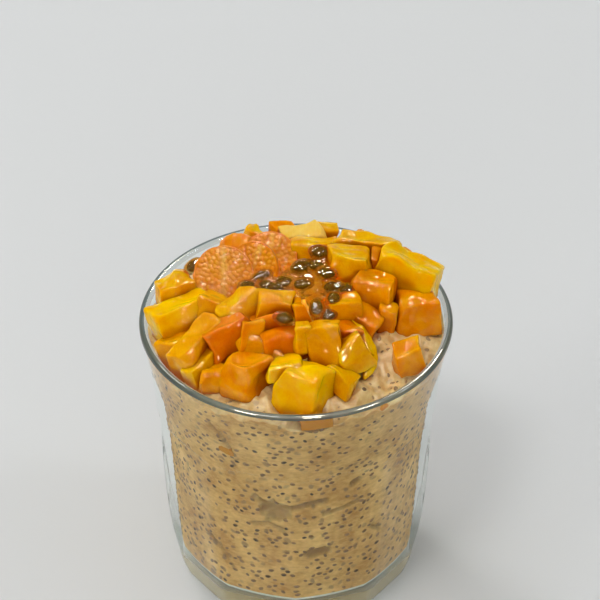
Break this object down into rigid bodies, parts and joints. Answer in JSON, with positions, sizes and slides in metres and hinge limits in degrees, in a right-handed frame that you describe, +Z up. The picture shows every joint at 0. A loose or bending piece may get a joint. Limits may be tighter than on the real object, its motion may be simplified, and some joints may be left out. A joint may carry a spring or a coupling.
{
  "type": "chia pudding in a glass",
  "caption": "Chia pudding in a faceted glass, heaped with diced mango and papaya, halved physalis and passion fruit pulp.",
  "frame": {"origin": "centre of the glass's underside, on the surface it stands on", "axes": "+Z up, -Y towards the front, where the bare pudding shows, +X to the right seen from the front"},
  "size_m": [0.088, 0.088, 0.1001],
  "materials": {
    "glass": "pressed clear soda-lime glass, fire-polished rim, faint green-blue in the thick edges",
    "pudding": "thick creamy chia pudding, soft sheen, full of grey-brown seeds",
    "mango": "wet, translucent yellow mango flesh with fine fibres",
    "papaya": "wet, translucent deep orange fruit flesh",
    "physalis": "smooth orange skin, cut face full of tiny pale seeds",
    "passion_seed": "wet, dark olive-brown passion fruit seed",
    "passion_pulp": "runny orange-brown juice sacs over dark seeds"
  },
  "bodies": {
    "root": {"glass": "glass", "mango_back_left": "mango", "mango_bit_crease": "mango", "mango_block_back": "mango", "mango_chip_center": "mango", "mango_chip_far": "mango", "mango_cube_back": "mango", "mango_curl_right": "mango", "mango_front": "mango", "mango_front_shelf": "mango", "mango_heel_front": "mango", "mango_ledge_back": "mango", "mango_low_left": "mango", "mango_pale_back": "mango", "mango_rear_center": "mango", "mango_rear_left": "mango", "mango_ridge_back": "mango", "mango_rim_left": "mango", "mango_slab_center": "mango", "mango_slab_right": "mango", "mango_sliver_wall": "mango", "mango_spear_left": "mango", "mango_strip_center": "mango", "mango_strip_left": "mango", "mango_under_physalis": "mango", "mango_wedge_left": "mango", "mango_wedge_right": "mango", "papaya_block_center": "papaya", "papaya_block_right": "papaya", "papaya_chip_back": "papaya", "papaya_chip_far": "papaya", "papaya_cube_left": "papaya", "papaya_dark_right": "papaya", "papaya_glossy_left": "papaya", "papaya_glossy_right": "papaya", "papaya_nub_right": "papaya", "papaya_nugget_left": "papaya", "papaya_ragged_right": "papaya", "papaya_rear_right": "papaya", "papaya_shadow_right": "papaya", "papaya_side_left": "papaya", "papaya_sliver_center": "papaya", "papaya_smooth_right": "papaya", "papaya_tip_far": "papaya", "papaya_under_slab": "papaya", "papaya_wedge_center": "papaya", "papaya_wedge_left": "papaya", "passion_pulp": "passion_pulp", "passion_seed_front": "passion_seed", "passion_seed_left": "passion_seed", "physalis_half_back": "physalis", "physalis_half_front": "physalis", "physalis_half_middle": "physalis", "physalis_half_right": "physalis", "pudding": "pudding"}
  },
  "joints": []
}
